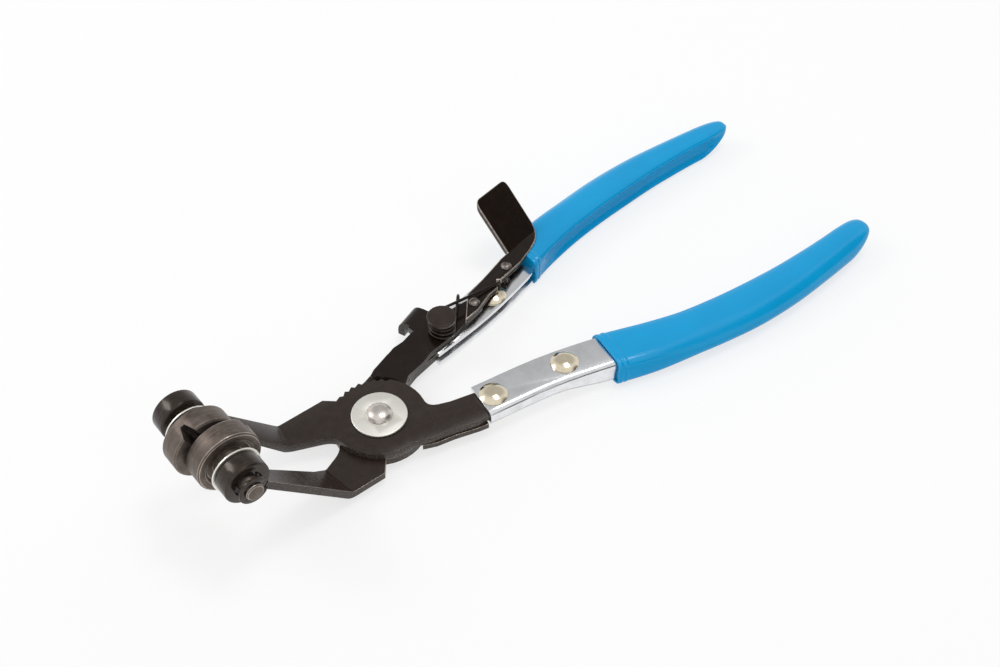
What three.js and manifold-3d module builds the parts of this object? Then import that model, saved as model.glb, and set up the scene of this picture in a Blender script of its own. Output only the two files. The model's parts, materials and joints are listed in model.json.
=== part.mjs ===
// Hose clamp pliers: two crossing levers, a ratchet that holds them shut and a pair of grooved swivel jaws.
// Sizes are in millimetres. +X runs from the pivot to the grips, +Y to the ratchet side and +Z up.
// The tool lies on Z = 0, shut, with its pivot on the Z axis.

import * as THREE from 'three';
import { mergeVertices } from 'three/addons/utils/BufferGeometryUtils.js';
import Module from 'manifold-3d';

const wasm = await Module();
wasm.setup();

// General sizes
const plateThickness = 2.4;
const plateGap = 0.1;
const seat = 0.05;
const runningClearance = 0.07;
const cutOverrun = 1;
const weldDistance = 0.0001;
const roundSteps = 40;
const smallRoundSteps = 24;
const filletSteps = 5;

// Pivot stack, from the foot that the tool lies on upwards
const pivotFootHeight = 1.4;
const pivotFootRadius = 4.6;
const pivotShankRadius = 3;
const pivotDomeRadius = 3.75;
const pivotDomeHeight = 1.7;
const washerThickness = 0.85;
const washerRadius = 7.9;
const washerEdgeRound = 0.2;

// Levers: hubs and shanks are alike; the arms are bent at different places and carry their jaws a little apart
const hubRadius = 13.4;
const bendLineLean = 9;
const bendSteps = 5;
const bendInnerRadius = 1.5;
const upperArm = { bendReach: 25.1, jawReach: 50.1, jawHeight: 32.4, collarFace: 11.8, clipSlack: 0.1, washerSlack: 2.55,
  outerBend: [-25, 14.3], outerCorner: [-9.3, 14.3] };
const lowerArm = { bendReach: 20.6, jawReach: 47.7, jawHeight: 31.8, collarFace: 9.45, clipSlack: 2, washerSlack: 0.05,
  outerBend: [-21, 15.3], outerCorner: [-9.2, 15.3] };
const armEdge = { innerBend: [-25.7, 6.5], innerRoot: [-17, 2.9], innerPull: [-14, 1.6] };
const hubLeaves = { armInner: 183, shankOuter: 277, shankInner: 348, armOuter: 478.5 };
const shankEdge = { outerPull: [4.6, -14.3], outerRoot: [7.6, -15.4], outerBelly: [13.4, -16.5],
  outerShoulder: [20.4, -18.7], innerRoot: [18.5, -8.1], innerWaist: [15.2, -6.8], innerPull: [12.3, -5.6] };
const shankHalfWidth = 4.3;
const shankStationShares = [0, 0.33, 0.66, 1];
const shankTail = 34;
const shankTailRound = 3;

// Ratchet teeth on the upper lever's hub
const toothPitch = 10;
const toothDepth = 0.8;
const firstTip = 41;
const notchCount = 7;
const steepWallLean = 3.4;
const meshClearance = 0.1;

// Handles: a bowed line, given as places beside the tool's middle plane
const handleBow = [[24.7, 14.1], [46, 17.2], [62, 21.2], [80, 26.8], [100, 31.1], [120, 33.2], [140, 33.2], [168, 31.4]];
const sheetThickness = 1.2;
const channelHalfWidth = 5.7;
const channelCornerRound = 1.6;
const channelLength = 136;
const channelStations = 26;
const channelTaperStart = 96;
const channelTaper = 1.6;
const flareHeight = 2.5;
const upperFlare = { from: 22, to: 40 };
const lowerFlare = { from: 52, to: 64 };
const lowerHandleShift = 1.8;
const lowerHandleInset = { most: 1.2, from: 46, to: 98 };

// Dipped grips
const gripWall = 1.1;
const upperGripStart = 39.6;
const lowerGripStart = 44.5;
const gripEnd = 141.5;
const gripHalfWidth = 7.5;
const upperGripSkew = 2;
const lowerGripSkew = 4.5;
const lowerGripNarrowing = { front: 0.95, rear: 0.35 };
const gripRim = 0.35;
const gripRimLength = 1.6;
const gripRimSpacing = 2.6;
const gripLipLength = 7;
const gripLipShare = 0.22;
const gripSlimFrom = 84;
const gripSlimming = 2;
const gripNoseLength = 9;
const gripNoseShare = 0.3;
const gripStraightShare = 0.8;
const gripCornerRound = 3.3;
const gripGrooveDepth = 1.5;
const gripGrooveHalfWidth = 1.5;
const gripGrooveFade = 18;
const gripStations = 36;

// Handle rivets
const rivetHeadRadius = 4.05;
const rivetHeadHeight = 1.5;
const rivetShankRadius = 2;
const rivetTailRadius = 3.2;
const rivetTailHeight = 0.9;
const upperRivets = { front: [4.1, -0.2], rear: [27.6, -0.7] };
const lowerRearRivet = [29.6, -1.5];

// Stop plate under the upper lever's shank
const stopPlateThickness = 1.8;
const stopPlateOutline = [[4.2, -14.3], [8, -15.9], [13.4, -17], [20.6, -19.1], [23.2, -19.6], [24, -16.4], [15.8, -12.6],
  [13, -9]];
const stopPlateHubGap = 0.4;

// Pawl, with its pin and return spring
const pawlPin = [32.1, 13.7];
const pawlThickness = 2.2;
const pawlFloorGap = 0.15;
const pawlSwing = 4.2;
const pawlJoggle = { from: 21.4, to: 24.7 };
const pawlClearingSteps = 6;
const pawlRelease = 3;
const pawlPinRadius = 2;
const pawlHeadRadius = 4.3;
const pawlHeadHeight = 1.2;
const pawlHeadEdge = 0.25;
const pawlOutline = { tip: [6.1, 13.3], nose: [8.5, 14.8], shoulder: [17.6, 18.1], earRoot: [25.6, 18.8],
  backPull: [34.8, 20.1], tailOuter: [38.4, 19], tailEnd: [48.4, 18.9],
  tailInner: [47.8, 14.6], waist: [34.5, 10.5], belly: [24.4, 9.1], heel: [15, 6.9], toe: [12.3, 4.7], hubSide: [5.8, 7.5] };
const earCorner = [24.5, 25.2];
const earTurn = 21;
const earWidth = 7.7;
const earRootDepth = 5.6;
const earCornerRound = 2;
const earFoot = 2.7;
const earBendRadius = 2;
const earBendSteps = 6;

const springWireRadius = 0.48;
const springCoilRadius = 3.7;
const springPitch = 1.6;
const springWholeTurns = 3;
const springTurnSteps = 24;
const springSides = 6;
const springLift = 0.1;
const springNotchPlace = [56.1, 16.9];
const springNotchDrop = 2;
const springWebReach = 14.6;
const springHookDepth = 2.2;
const springHookBend = 1.1;
const springLegDirection = 48.4;

// Thumb lever riveted on the pawl's tail
const thumbThickness = 1.8;
const thumbOutline = { front: [39, 11.4], frontOuter: [46.1, 19.6], outerMiddle: [52.2, 21.3], outerRear: [62.6, 24.7],
  bendEnd: [79.7, 28], cornerPull: [80, 25.8], cornerFoot: [72.6, 22.4], end: [66.7, 20], notchRear: [57.6, 17.9],
  notchFloor: [56.7, 18.6], notchFront: [54.9, 16.1], innerMiddle: [51.4, 15.4], innerFront: [44.3, 12.3] };
const thumbTabLength = 18.6;
const thumbTabLean = 45.5;
const thumbTabWidth = 13.8;
const thumbTabRound = 2;
const thumbTabFoot = 2.1;
const thumbBendRadius = 2;
const thumbBendDirection = 10.5;
const thumbRivetRadius = 1.75;
const thumbRivetHead = 0.8;
const thumbRivetShankRadius = 1;
const thumbFrontRivet = [45.6, 15.6];
const thumbRearRivet = [62.4, 21.5];
const thumbStudGap = 0.2;

// Swivel jaws, collars and their small parts
const jawRadius = 9.1;
const jawThickness = 6.1;
const jawNeckLength = 1.85;
const clipReach = 10.25;
const jawEdgeRound = 0.45;
const jawDishRadius = 7;
const jawDishDepth = 0.8;
const jawNeckRadius = 4.4;
const jawPinRadius = 2.55;
const jawPinReach = 11.8;
const jawPinEdge = 0.35;
const jawGrooveDepth = 3.4;
const jawGrooveMouth = 3.8;
const jawGrooveFloor = 1.2;
const leftGrooveTurn = 113;
const rightGrooveTurn = 28;
const collarRadius = 6.35;
const collarEdge = 0.4;
const collarLength = 5.15;
const collarOverhang = 0.1;
const thrustWasherRadius = 6.85;
const thrustWasherThickness = 0.5;
const washerRoomRadius = 7.3;
const clipRadius = 4.1;
const clipThickness = 0.7;
const clipSeatRadius = 1.9;
const clipOpening = 3.3;
const clipTongue = 18;
const clipHollowSpan = 50;
const clipHollow = 0.9;
const clipSteps = 24;

const radians = (degrees) => degrees * Math.PI / 180;
const mix = (a, b, share) => a + (b - a) * share;
const clampShare = (value) => Math.min(1, Math.max(0, value));
const smoothShare = (value, from, to) => {
  const share = clampShare((value - from) / (to - from));
  return share * share * (3 - 2 * share);
};

// The spring's coil runs from one leg's tangent to the other's
const notchFromPin = springNotchPlace.map((place, axis) => place - pawlPin[axis]);
const notchTurn = Math.asin(springCoilRadius / Math.hypot(...notchFromPin));
const springLowerTangent = radians(springLegDirection - 90);
const springUpperTangent = Math.atan2(notchFromPin[1], notchFromPin[0]) - notchTurn + Math.PI / 2;
const springSweep = springLowerTangent - springUpperTangent + 2 * Math.PI * springWholeTurns;

// Heights that follow from the stack
const lowerWasherBase = pivotFootHeight + seat;
const lowerPlateBase = lowerWasherBase + washerThickness + seat;
const lowerPlateTop = lowerPlateBase + plateThickness;
const upperPlateBase = lowerPlateTop + plateGap;
const upperPlateTop = upperPlateBase + plateThickness;
const upperWasherBase = upperPlateTop + seat;
const pivotHeadBase = upperWasherBase + washerThickness + seat;
const channelInnerHeight = plateThickness + 2 * seat;
const channelHeight = channelInnerHeight + 2 * sheetThickness;
const upperChannelBase = upperPlateBase - seat - sheetThickness;
const lowerChannelBase = lowerPlateBase - seat - sheetThickness;
const lowerFlangeTop = lowerChannelBase + channelHeight;
const pawlFrontBase = lowerPlateTop + pawlFloorGap;
const pawlRearBase = lowerFlangeTop + pawlFloorGap;
const pawlRearTop = pawlRearBase + pawlThickness;
const thumbBase = pawlRearTop + seat;
const thumbTop = thumbBase + thumbThickness;
const springBase = pawlRearTop + springLift + springWireRadius;
const springTop = springBase + springPitch * springSweep / (2 * Math.PI);
const pawlHeadBase = springTop + springWireRadius + seat;
const cutHeight = upperArm.jawHeight;

// Materials by the look of each stock
const material = (color, roughness, metalness) => new THREE.MeshStandardMaterial({ color, roughness, metalness });
const blackedPlate = () => material('#3a3330', 0.45, 0.8);
const blackedLever = () => material('#2b2421', 0.4, 0.7);
const turnedBlack = () => material('#221e1d', 0.25, 0.85);
const gunmetal = () => material('#5a504b', 0.45, 0.85);
const paleZinc = () => material('#d3d5cc', 0.35, 0.9);
const brightRivet = () => material('#c9c6bd', 0.2, 1);
const brassyRivet = () => material('#d9cdb0', 0.2, 1);
const chrome = () => material('#d6d9dc', 0.08, 1);
const blueVinyl = () => material('#0099d6', 0.3, 0);
const springSteel = () => material('#3d3733', 0.35, 0.9);

// Solids and meshes
function solidOf(geometry) {
  const bare = geometry.clone();
  bare.deleteAttribute('normal');
  bare.deleteAttribute('uv');
  const welded = mergeVertices(bare, weldDistance);
  const mesh = new wasm.Mesh({
    numProp: 3,
    vertProperties: new Float32Array(welded.attributes.position.array),
    triVerts: new Uint32Array(welded.index.array),
  });
  return new wasm.Manifold(mesh);
}

function geometryOf(solid) {
  const mesh = solid.getMesh();
  const geometry = new THREE.BufferGeometry();
  geometry.setAttribute('position', new THREE.BufferAttribute(new Float32Array(mesh.vertProperties), 3));
  geometry.setIndex(new THREE.BufferAttribute(new Uint32Array(mesh.triVerts), 1));
  geometry.computeVertexNormals();
  return geometry;
}

function addPiece(parent, name, shape, look, place = [0, 0, 0]) {
  const geometry = shape.isBufferGeometry ? shape : geometryOf(shape);
  const mesh = new THREE.Mesh(geometry, look);
  mesh.name = name;
  mesh.position.set(...place);
  parent.add(mesh);
  return mesh;
}

function prism(shape, base, height, curveSteps = filletSteps) {
  const geometry = new THREE.ExtrudeGeometry(shape, { depth: height, bevelEnabled: false, curveSegments: curveSteps });
  return geometry.translate(0, 0, base);
}

function outlineShape(points) {
  return new THREE.Shape(points.map(([x, y]) => new THREE.Vector2(x, y)));
}

function turnedOnZ(profile, steps) {
  const points = profile.map(([radius, height]) => new THREE.Vector2(radius, height));
  return new THREE.LatheGeometry(points, steps).rotateX(Math.PI / 2);
}

function turnedOnY(profile, steps) {
  const points = profile.map(([radius, reach]) => new THREE.Vector2(radius, reach));
  return new THREE.LatheGeometry(points, steps);
}

function post(radius, base, height, steps = smallRoundSteps) {
  return turnedOnZ([[0, base], [radius, base], [radius, base + height], [0, base + height]], steps);
}

function domeProfile(radius, base, height, rings = 4) {
  const points = [];
  for (let ring = 0; ring <= rings; ring++) {
    const angle = (ring / rings) * Math.PI / 2;
    points.push([ring === rings ? 0 : radius * Math.cos(angle), base + height * Math.sin(angle)]);
  }
  return points;
}

// The handle line, measured along its length from the front of the upper channel
const handleLine = new THREE.CatmullRomCurve3(handleBow.map(([x, y]) => new THREE.Vector3(x, y, 0)), false, 'centripetal');
handleLine.arcLengthDivisions = 400;
const handleLineLength = handleLine.getLength();

function handlePoint(along, aside) {
  const share = clampShare(along / handleLineLength);
  const point = handleLine.getPointAt(share);
  const heading = handleLine.getTangentAt(share);
  return [point.x - heading.y * aside, point.y + heading.x * aside];
}

// side is 1 for the ratchet side and -1 for the other
function handlePlace([along, aside], side) {
  const [x, y] = handlePoint(along, aside);
  return [x, side * y];
}

// Lever blank in plan, for the lever whose arm is on the +Y side
function leverBlank(side, arm, handleStart) {
  const shape = new THREE.Shape();
  const to = (method, ...points) => shape[method](...points.flatMap(([x, y]) => [x, side * y]));
  const hubPoint = (angle) => [hubRadius * Math.cos(radians(angle)), hubRadius * Math.sin(radians(angle))];
  const hubArc = (from, until) => {
    const steps = Math.ceil((until - from) / (360 / roundSteps));
    for (let step = 0; step <= steps; step++) {
      to('lineTo', hubPoint(mix(from, until, step / steps)));
    }
  };
  const channelSide = (aside, reversed) => {
    const places = shankStationShares.map((share) => mix(handleStart + sheetThickness, shankTail, share));
    (reversed ? places.reverse() : places).forEach((along) => {
      const [x, y] = handlePoint(along, aside);
      to('lineTo', [x, -y]);
    });
  };
  to('moveTo', [-arm.jawReach, arm.collarFace + collarOverhang]);
  to('lineTo', armEdge.innerBend);
  to('lineTo', armEdge.innerRoot);
  to('quadraticCurveTo', armEdge.innerPull, hubPoint(hubLeaves.armInner));
  hubArc(hubLeaves.armInner, hubLeaves.shankOuter);
  to('quadraticCurveTo', shankEdge.outerPull, shankEdge.outerRoot);
  to('quadraticCurveTo', shankEdge.outerBelly, shankEdge.outerShoulder);
  channelSide(shankHalfWidth, false);
  const [tailX, tailY] = handlePoint(shankTail + shankTailRound, 0);
  to('lineTo', [tailX, -tailY]);
  channelSide(-shankHalfWidth, true);
  to('lineTo', shankEdge.innerRoot);
  to('lineTo', shankEdge.innerWaist);
  to('quadraticCurveTo', shankEdge.innerPull, hubPoint(hubLeaves.shankInner));
  hubArc(hubLeaves.shankInner, hubLeaves.armOuter);
  to('lineTo', arm.outerCorner);
  to('lineTo', arm.outerBend);
  to('lineTo', [-arm.jawReach, arm.collarFace + collarLength - collarOverhang]);
  return shape;
}

// Side view of a sheet strip: level on the +X side, then rising beyond the bend line at the origin
function bentStrip(level, thickness, innerRadius, bendAngle, steps, levelLength, rampLength) {
  const middleRadius = innerRadius + thickness / 2;
  const pull = middleRadius * Math.tan(bendAngle / 2);
  const edge = (offset) => {
    const points = [[levelLength, level + offset]];
    for (let step = 0; step <= steps; step++) {
      const angle = bendAngle * step / steps;
      const radius = middleRadius - offset;
      points.push([pull - radius * Math.sin(angle), level + middleRadius - radius * Math.cos(angle)]);
    }
    const [footX, footZ] = points[points.length - 1];
    points.push([footX - rampLength * Math.cos(bendAngle), footZ + rampLength * Math.sin(bendAngle)]);
    return points;
  };
  return outlineShape([...edge(-thickness / 2), ...edge(thickness / 2).reverse()]);
}

// A strip's side view drawn out sideways, centred on the X axis
function stripSolid(shape, width) {
  const strip = new THREE.ExtrudeGeometry(shape, { depth: width, bevelEnabled: false });
  return strip.rotateX(Math.PI / 2).translate(0, width / 2, 0);
}

// A lever: its blank, bent up so that the arm's middle plane meets the jaw's pin line
function leverSolid(side, plateBase, arm, handleStart) {
  const { jawReach, jawHeight, collarFace } = arm;
  const level = plateBase + plateThickness / 2;
  const bendMiddle = (armEdge.innerBend[1] + arm.outerBend[1]) / 2;
  const armMiddle = collarFace + collarLength / 2;
  const lean = radians(bendLineLean);
  const run = (jawReach - arm.bendReach) * Math.cos(lean) + (armMiddle - bendMiddle) * Math.sin(lean);
  const bendAngle = Math.atan2(jawHeight - level, run);
  const shape = bentStrip(level, plateThickness, bendInnerRadius, bendAngle, bendSteps, 2 * jawReach, jawReach);
  const strip = stripSolid(shape, 2 * jawReach).rotateZ(-side * lean).translate(-arm.bendReach, side * bendMiddle, 0);
  const blank = prism(leverBlank(side, arm, handleStart), -cutOverrun, jawHeight + jawRadius);
  const collarRoom = roomOnPinLine(side, arm, collarRadius + seat, jawReach);
  const washerRoom = roomOnPinLine(side, arm, washerRoomRadius, collarFace - arm.washerSlack + seat);
  const beyondPin = new THREE.BoxGeometry(jawReach, 2 * jawReach, 2 * jawReach);
  beyondPin.translate(-jawReach * 3 / 2, 0, jawHeight);
  const pivotHole = post(pivotShankRadius + runningClearance, -cutOverrun, cutHeight);
  return [collarRoom, washerRoom, beyondPin, pivotHole]
    .reduce((solid, room) => solid.subtract(solidOf(room)), solidOf(strip).intersect(solidOf(blank)));
}

function roomOnPinLine(side, arm, radius, reach) {
  const room = turnedOnY([[0, 0], [radius, 0], [radius, reach], [0, reach]], roundSteps);
  return room.translate(-arm.jawReach, side > 0 ? 0 : -reach, arm.jawHeight);
}

// Ratchet teeth: the wall at each notch's far end stops the levers opening, the other is a ramp
function notchShape(angle, growth) {
  const root = hubRadius - toothDepth + growth;
  const rim = hubRadius + growth;
  const tip = hubRadius + cutOverrun;
  const trim = THREE.MathUtils.radToDeg(growth / hubRadius);
  const at = (radius, degrees) => [radius * Math.cos(radians(degrees)), radius * Math.sin(radians(degrees))];
  const steep = angle + toothPitch / 2 - trim;
  const shallow = angle - toothPitch / 2;
  return outlineShape([at(root, steep - steepWallLean), at(rim, steep), at(tip, steep), at(tip, shallow), at(rim, shallow)]);
}

function notchCutter(growth) {
  let cutter = null;
  for (let notch = 0; notch < notchCount; notch++) {
    const piece = solidOf(prism(notchShape(firstTip + toothPitch * (notch + 0.5), growth), -cutOverrun, cutHeight));
    cutter = cutter ? cutter.add(piece) : piece;
  }
  return cutter;
}

// Channel section: flanges above and below, a web outside, open towards the other handle
function channelSection(grow) {
  const wide = channelHalfWidth + grow;
  const low = -grow;
  const high = channelHeight + grow;
  const wall = sheetThickness + 2 * grow;
  const shape = new THREE.Shape();
  const corner = channelCornerRound + grow;
  shape.moveTo(-wide, low);
  shape.lineTo(wide - corner, low);
  shape.quadraticCurveTo(wide, low, wide, low + corner);
  shape.lineTo(wide, high - corner);
  shape.quadraticCurveTo(wide, high, wide - corner, high);
  shape.lineTo(-wide, high);
  shape.lineTo(-wide, high - wall);
  shape.lineTo(wide - wall, high - wall);
  shape.lineTo(wide - wall, low + wall);
  shape.lineTo(-wide, low + wall);
  return shape;
}

// Grip section: rounded, with the groove that the open side of the channel leaves
function gripSection() {
  const wide = gripHalfWidth;
  const low = -gripWall;
  const high = channelHeight + gripWall;
  const middle = channelHeight / 2;
  const round = gripCornerRound;
  const shape = new THREE.Shape();
  shape.moveTo(-wide + round, low);
  shape.lineTo(wide - round, low);
  shape.quadraticCurveTo(wide, low, wide, low + round);
  shape.lineTo(wide, high - round);
  shape.quadraticCurveTo(wide, high, wide - round, high);
  shape.lineTo(-wide + round, high);
  shape.quadraticCurveTo(-wide, high, -wide, middle + gripGrooveHalfWidth);
  shape.quadraticCurveTo(-wide + gripGrooveDepth, middle + gripGrooveHalfWidth / 2, -wide + gripGrooveDepth, middle);
  shape.quadraticCurveTo(-wide + gripGrooveDepth, middle - gripGrooveHalfWidth / 2, -wide, middle - gripGrooveHalfWidth);
  shape.quadraticCurveTo(-wide, low, -wide + round, low);
  return shape;
}

// Lays a straight bar along the handle line; settle gives each corner's place aside and its height
function alongHandle(shape, curveSteps, stations, handle, place, settle) {
  const bar = new THREE.ExtrudeGeometry(shape, { depth: 1, steps: stations, bevelEnabled: false, curveSegments: curveSteps });
  const points = bar.attributes.position;
  const middle = channelHeight / 2;
  for (let index = 0; index < points.count; index++) {
    const along = place(points.getZ(index));
    const flare = flareHeight * smoothShare(along, handle.flare.from, handle.flare.to);
    const height = points.getY(index);
    const flared = (height - middle) * handle.side > 0 ? height + handle.side * flare : height;
    const [aside, settled, later = 0] = settle(points.getX(index), flared, along, middle + handle.side * flare / 2);
    const inset = handle.inset * smoothShare(along, lowerHandleInset.from, lowerHandleInset.to);
    const [x, y] = handlePoint(along + later, aside - inset);
    points.setXYZ(index, x, handle.side * y, handle.base + settled);
  }
  if (handle.side < 0) {
    turnFacesRound(bar);
  }
  return bar;
}

function turnFacesRound(geometry) {
  const order = [];
  for (let corner = 0; corner < geometry.attributes.position.count; corner += 3) {
    order.push(corner, corner + 2, corner + 1);
  }
  geometry.setIndex(order);
}

function handleSettings(side) {
  const shift = side > 0 ? lowerHandleShift : 0;
  return {
    side,
    base: side > 0 ? lowerChannelBase : upperChannelBase,
    flare: side > 0 ? lowerFlare : upperFlare,
    start: shift,
    inset: side > 0 ? lowerHandleInset.most : 0,
    narrowing: side > 0 ? lowerGripNarrowing : { front: 0, rear: 0 },
    channelEnd: channelLength,
    gripStart: side > 0 ? lowerGripStart : upperGripStart,
    gripSkew: side > 0 ? lowerGripSkew : upperGripSkew,
    gripEnd,
    frontRivet: side > 0 ? null : upperRivets.front,
    rearRivet: side > 0 ? lowerRearRivet : upperRivets.rear,
  };
}

function channelBar(handle, grow) {
  const place = (share) => mix(handle.start, handle.channelEnd + grow, share);
  const settle = (aside, height, along) => {
    const tapered = channelTaper * smoothShare(along, channelTaperStart, handle.channelEnd);
    return [aside * (1 - tapered / channelHalfWidth), height];
  };
  return alongHandle(channelSection(grow), 2, channelStations, handle, place, settle);
}

function gripBar(handle) {
  const noseStart = handle.gripEnd - gripNoseLength;
  const lipEnd = handle.gripStart + gripLipLength;
  const place = (share) => {
    if (share < gripLipShare) {
      return mix(handle.gripStart, lipEnd, share / gripLipShare);
    }
    if (share < gripStraightShare) {
      return mix(lipEnd, noseStart, (share - gripLipShare) / (gripStraightShare - gripLipShare));
    }
    return noseStart + gripNoseLength * Math.sin((share - gripStraightShare) / (1 - gripStraightShare) * Math.PI / 2);
  };
  const rimAt = (distance) => gripRim * Math.max(0, Math.cos(clampShare(Math.abs(distance) / gripRimLength) * Math.PI / 2));
  const settle = (aside, height, along, middle) => {
    const fromStart = along - handle.gripStart;
    const rim = rimAt(fromStart - gripRimLength / 2) + rimAt(fromStart - gripRimLength / 2 - gripRimSpacing);
    const narrowed = mix(handle.narrowing.front, handle.narrowing.rear, smoothShare(along, handle.gripStart, gripSlimFrom));
    const slim = narrowed + gripSlimming * smoothShare(along, gripSlimFrom, handle.gripEnd);
    const fade = smoothShare(along, noseStart - gripGrooveFade, noseStart);
    const inGroove = aside < 0 && Math.abs(height - middle) <= gripGrooveHalfWidth + flareHeight;
    const evened = inGroove && aside > -gripHalfWidth ? mix(aside, -gripHalfWidth, fade) : aside;
    const noseShare = clampShare((along - noseStart) / gripNoseLength);
    const nose = mix(gripNoseShare, 1, Math.sqrt(1 - noseShare * noseShare));
    const unskewed = smoothShare(along, handle.gripStart, gripSlimFrom);
    const later = handle.gripSkew * (aside / gripHalfWidth + 1) / 2 * (1 - unskewed);
    const grown = height + rim * clampShare((height - middle) / gripWall);
    return [evened * (1 + (rim - slim) / gripHalfWidth) * nose, middle + (grown - middle) * nose, later];
  };
  return alongHandle(gripSection(), 3, gripStations, handle, place, settle);
}

// Pawl: flat in front beside the teeth, stepped up over the channel, with an ear bent down outside the web
function pawlBlank() {
  const to = pawlOutline;
  const shape = new THREE.Shape();
  shape.moveTo(...to.hubSide);
  [to.toe, to.heel, to.belly, to.waist, to.tailInner, to.tailEnd, to.tailOuter].forEach((point) => shape.lineTo(...point));
  shape.quadraticCurveTo(...to.backPull, ...onEar(earWidth, earRootDepth));
  [onEar(earWidth, 0), onEar(0, 0), to.earRoot, to.shoulder, to.nose, to.tip].forEach((point) => shape.lineTo(...point));
  return shape;
}

// A place on the ear: along its outer face from the front corner, and in from that face
function onEar(along, inward) {
  const turn = radians(earTurn);
  const [x, y] = earCorner;
  return [x + along * Math.cos(turn) + inward * Math.sin(turn), y + along * Math.sin(turn) - inward * Math.cos(turn)];
}

function pawlStrip() {
  const far = upperArm.jawReach * 2;
  const { from, to } = pawlJoggle;
  const frontTop = pawlFrontBase + pawlThickness;
  return stripSolid(outlineShape([[-far, pawlFrontBase], [from, pawlFrontBase], [to, pawlRearBase], [far, pawlRearBase],
    [far, pawlRearTop], [to, pawlRearTop], [from, frontTop], [-far, frontTop]]), far);
}

// The ear is drawn at the origin, in from its outer face, and turned into place
function pawlEar() {
  const bend = earBendRadius + pawlThickness;
  const shape = new THREE.Shape();
  shape.moveTo(-earRootDepth, pawlRearTop);
  shape.lineTo(-bend, pawlRearTop);
  shape.quadraticCurveTo(0, pawlRearTop, 0, pawlRearTop - bend);
  shape.lineTo(0, earFoot);
  shape.lineTo(-pawlThickness, earFoot);
  shape.lineTo(-pawlThickness, pawlRearBase - earBendRadius);
  shape.quadraticCurveTo(-pawlThickness, pawlRearBase, -bend, pawlRearBase);
  shape.lineTo(-earRootDepth, pawlRearBase);
  const ear = new THREE.ExtrudeGeometry(shape, { depth: earWidth, bevelEnabled: false, curveSegments: earBendSteps });
  ear.rotateX(Math.PI / 2).rotateZ(Math.PI / 2);
  return solidOf(ear).intersect(solidOf(earOutline())).rotate([0, 0, earTurn]).translate([...earCorner, 0]);
}

// The ear from above, with its outer corners rounded
function earOutline() {
  const shape = new THREE.Shape();
  shape.moveTo(0, -earRootDepth);
  shape.lineTo(earWidth, -earRootDepth);
  shape.lineTo(earWidth, -earCornerRound);
  shape.quadraticCurveTo(earWidth, 0, earWidth - earCornerRound, 0);
  shape.lineTo(0, 0);
  return prism(shape, 0, pawlRearTop + cutOverrun);
}

function turnedAboutPawlPin(solid, degrees) {
  const [x, y] = pawlPin;
  return solid.translate([-x, -y, 0]).rotate([0, 0, degrees]).translate([x, y, 0]);
}

function pawlSolid() {
  const flatPart = earBendRadius + pawlThickness;
  const reach = 2 * earWidth;
  const beyondFlat = new THREE.BoxGeometry(2 * reach, reach, 4 * pawlRearTop).translate(0, reach / 2 - flatPart, 0);
  beyondFlat.rotateZ(radians(earTurn)).translate(...onEar(earWidth / 2, 0), 0);
  const blank = solidOf(prism(pawlBlank(), -cutOverrun, cutHeight)).subtract(solidOf(beyondFlat));
  let pawl = solidOf(pawlStrip()).intersect(blank).add(pawlEar());
  const hub = solidOf(post(hubRadius + meshClearance, pawlFrontBase - cutOverrun, pawlThickness * 3, roundSteps * 3));
  const toothed = hub.subtract(notchCutter(meshClearance));
  for (let step = 0; step <= pawlClearingSteps; step++) {
    const turn = -pawlSwing * step / pawlClearingSteps;
    pawl = pawl.subtract(turnedAboutPawlPin(toothed, turn));
  }
  const hole = post(pawlPinRadius + runningClearance, -cutOverrun, cutHeight).translate(pawlPin[0], pawlPin[1], 0);
  const rivetHole = post(thumbRivetShankRadius + seat, -cutOverrun, cutHeight);
  rivetHole.translate(thumbFrontRivet[0], thumbFrontRivet[1], 0);
  return pawl.subtract(solidOf(hole)).subtract(solidOf(rivetHole));
}

// Pawl spring: one wire from the hook on the web, round the pin and on to the notch in the thumb lever
class CoilCurve extends THREE.Curve {
  constructor(startAngle, sweep, base) {
    super();
    Object.assign(this, { startAngle, sweep, base });
  }

  getPoint(share, target = new THREE.Vector3()) {
    const angle = this.startAngle - this.sweep * share;
    const rise = springPitch * this.sweep * share / (2 * Math.PI);
    return target.set(springCoilRadius * Math.cos(angle), springCoilRadius * Math.sin(angle), this.base + rise);
  }
}

function springPath() {
  const coil = new CoilCurve(springLowerTangent, springSweep, springBase);
  const start = coil.getPoint(0);
  const end = coil.getPoint(1);
  const legHeading = new THREE.Vector3(-Math.sin(springLowerTangent), Math.cos(springLowerTangent), 0);
  const webCorner = start.clone().addScaledVector(legHeading, springWebReach);
  const webEnd = webCorner.clone().setZ(webCorner.z - springHookDepth);
  const notchCorner = new THREE.Vector3(...notchFromPin, thumbTop + springWireRadius + springLift);
  const notchEnd = notchCorner.clone().setZ(notchCorner.z - springNotchDrop);
  const path = new THREE.CurvePath();
  addHook(path, webEnd, webCorner, start, true);
  path.add(coil);
  addHook(path, notchEnd, notchCorner, end, false);
  return path;
}

// A short bent end and the straight leg between it and the coil
function addHook(path, tip, corner, coilEnd, towardsCoil) {
  const onTip = corner.clone().lerp(tip, springHookBend / corner.distanceTo(tip));
  const onLeg = corner.clone().lerp(coilEnd, springHookBend / corner.distanceTo(coilEnd));
  if (towardsCoil) {
    path.add(new THREE.LineCurve3(tip, onTip));
    path.add(new THREE.QuadraticBezierCurve3(onTip, corner, onLeg));
    path.add(new THREE.LineCurve3(onLeg, coilEnd));
    return;
  }
  path.add(new THREE.LineCurve3(coilEnd, onLeg));
  path.add(new THREE.QuadraticBezierCurve3(onLeg, corner, onTip));
  path.add(new THREE.LineCurve3(onTip, tip));
}

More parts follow.
